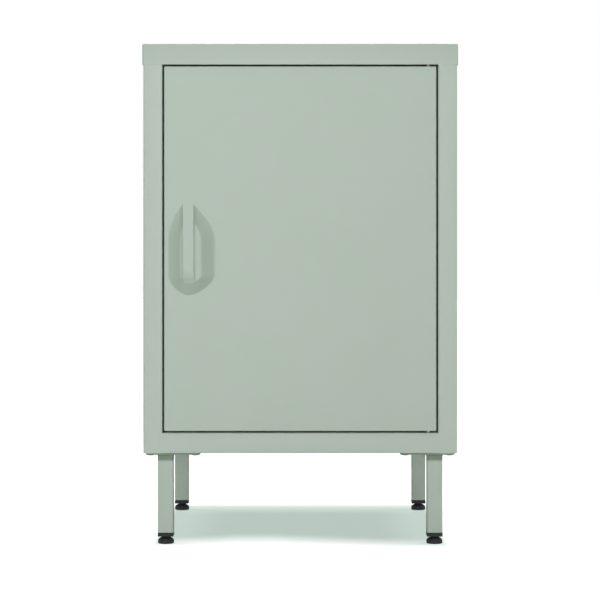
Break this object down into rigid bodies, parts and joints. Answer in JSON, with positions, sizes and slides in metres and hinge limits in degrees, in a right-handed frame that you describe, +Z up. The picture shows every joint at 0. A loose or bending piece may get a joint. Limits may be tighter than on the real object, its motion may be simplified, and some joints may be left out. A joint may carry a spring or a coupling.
{
  "type": "storage locker",
  "caption": "Small sheet-steel storage locker on four square legs, with an inset hinged door, a recessed strap handle and a loose shelf behind it.",
  "frame": {"origin": "on the floor, under the centre of the locker", "axes": "+Z up, -Y out of the front, +X to the right seen from the front"},
  "size_m": [0.38, 0.38, 0.604],
  "materials": {
    "green_powder_coat": "satin sage-green powder coat with a fine texture, on sheet steel",
    "zinc_steel": "bright zinc-plated steel",
    "black_plastic": "satin moulded plastic",
    "black_rubber": "matt",
    "white_nylon": "satin moulded nylon",
    "grey_ferrite": "matt sintered magnet"
  },
  "bodies": {
    "cabinet": {"top_lid": "green_powder_coat", "side_panel_left": "green_powder_coat", "side_panel_right": "green_powder_coat", "bottom_panel": "green_powder_coat", "back_panel": "green_powder_coat", "shelf_support_left": "green_powder_coat", "shelf_support_right": "green_powder_coat", "hinge_pin_top": "zinc_steel", "hinge_pin_bottom": "zinc_steel", "catch_housing": "black_plastic", "catch_magnet": "grey_ferrite", "door_bumper_lower": "black_rubber", "door_bumper_upper": "black_rubber", "lid_nut_front_left": "zinc_steel", "lid_nut_front_right": "zinc_steel", "lid_nut_rear_left": "zinc_steel", "lid_nut_rear_right": "zinc_steel", "back_screw_upper_left": "zinc_steel", "back_screw_upper_right": "zinc_steel", "back_screw_lower_left": "zinc_steel", "back_screw_lower_right": "zinc_steel", "back_screw_floor_left": "zinc_steel", "back_screw_floor_right": "zinc_steel", "leg_front_left": "green_powder_coat", "leg_front_right": "green_powder_coat", "leg_rear_right": "green_powder_coat", "leg_rear_left": "green_powder_coat", "leg_bolt_front_left_corner": "zinc_steel", "leg_bolt_front_left_first": "zinc_steel", "leg_bolt_front_left_second": "zinc_steel", "leg_bolt_front_right_corner": "zinc_steel", "leg_bolt_front_right_first": "zinc_steel", "leg_bolt_front_right_second": "zinc_steel", "leg_bolt_rear_right_corner": "zinc_steel", "leg_bolt_rear_right_first": "zinc_steel", "leg_bolt_rear_right_second": "zinc_steel", "leg_bolt_rear_left_corner": "zinc_steel", "leg_bolt_rear_left_first": "zinc_steel", "leg_bolt_rear_left_second": "zinc_steel", "leg_plug_front_left": "black_plastic", "leg_plug_front_right": "black_plastic", "leg_plug_rear_right": "black_plastic", "leg_plug_rear_left": "black_plastic"},
    "door": {"door_skin": "green_powder_coat", "handle_cup": "green_powder_coat", "door_stiffener": "green_powder_coat", "hinge_bush_top": "white_nylon", "hinge_bush_bottom": "white_nylon"},
    "shelf": {"shelf": "green_powder_coat"},
    "foot_front_left": {"foot_pad_front_left": "black_plastic", "foot_stud_front_left": "black_plastic"},
    "foot_front_right": {"foot_pad_front_right": "black_plastic", "foot_stud_front_right": "black_plastic"},
    "foot_rear_right": {"foot_pad_rear_right": "black_plastic", "foot_stud_rear_right": "black_plastic"},
    "foot_rear_left": {"foot_pad_rear_left": "black_plastic", "foot_stud_rear_left": "black_plastic"}
  },
  "joints": [
    {"name": "door_hinge", "type": "hinge", "parent": "cabinet", "child": "door", "pos_m": [0.1541, -0.1837, 0.35], "axis": [0, 0, 1], "range_deg": [0, 120]},
    {"name": "shelf_lift", "type": "slide", "parent": "cabinet", "child": "shelf", "axis": [0, 0, 1], "range_m": [0, 0.12]},
    {"name": "foot_front_left_screw", "type": "slide", "parent": "cabinet", "child": "foot_front_left", "axis": [0, 0, -1], "range_m": [0, 0.01]},
    {"name": "foot_front_right_screw", "type": "slide", "parent": "cabinet", "child": "foot_front_right", "axis": [0, 0, -1], "range_m": [0, 0.01]},
    {"name": "foot_rear_right_screw", "type": "slide", "parent": "cabinet", "child": "foot_rear_right", "axis": [0, 0, -1], "range_m": [0, 0.01]},
    {"name": "foot_rear_left_screw", "type": "slide", "parent": "cabinet", "child": "foot_rear_left", "axis": [0, 0, -1], "range_m": [0, 0.01]}
  ]
}
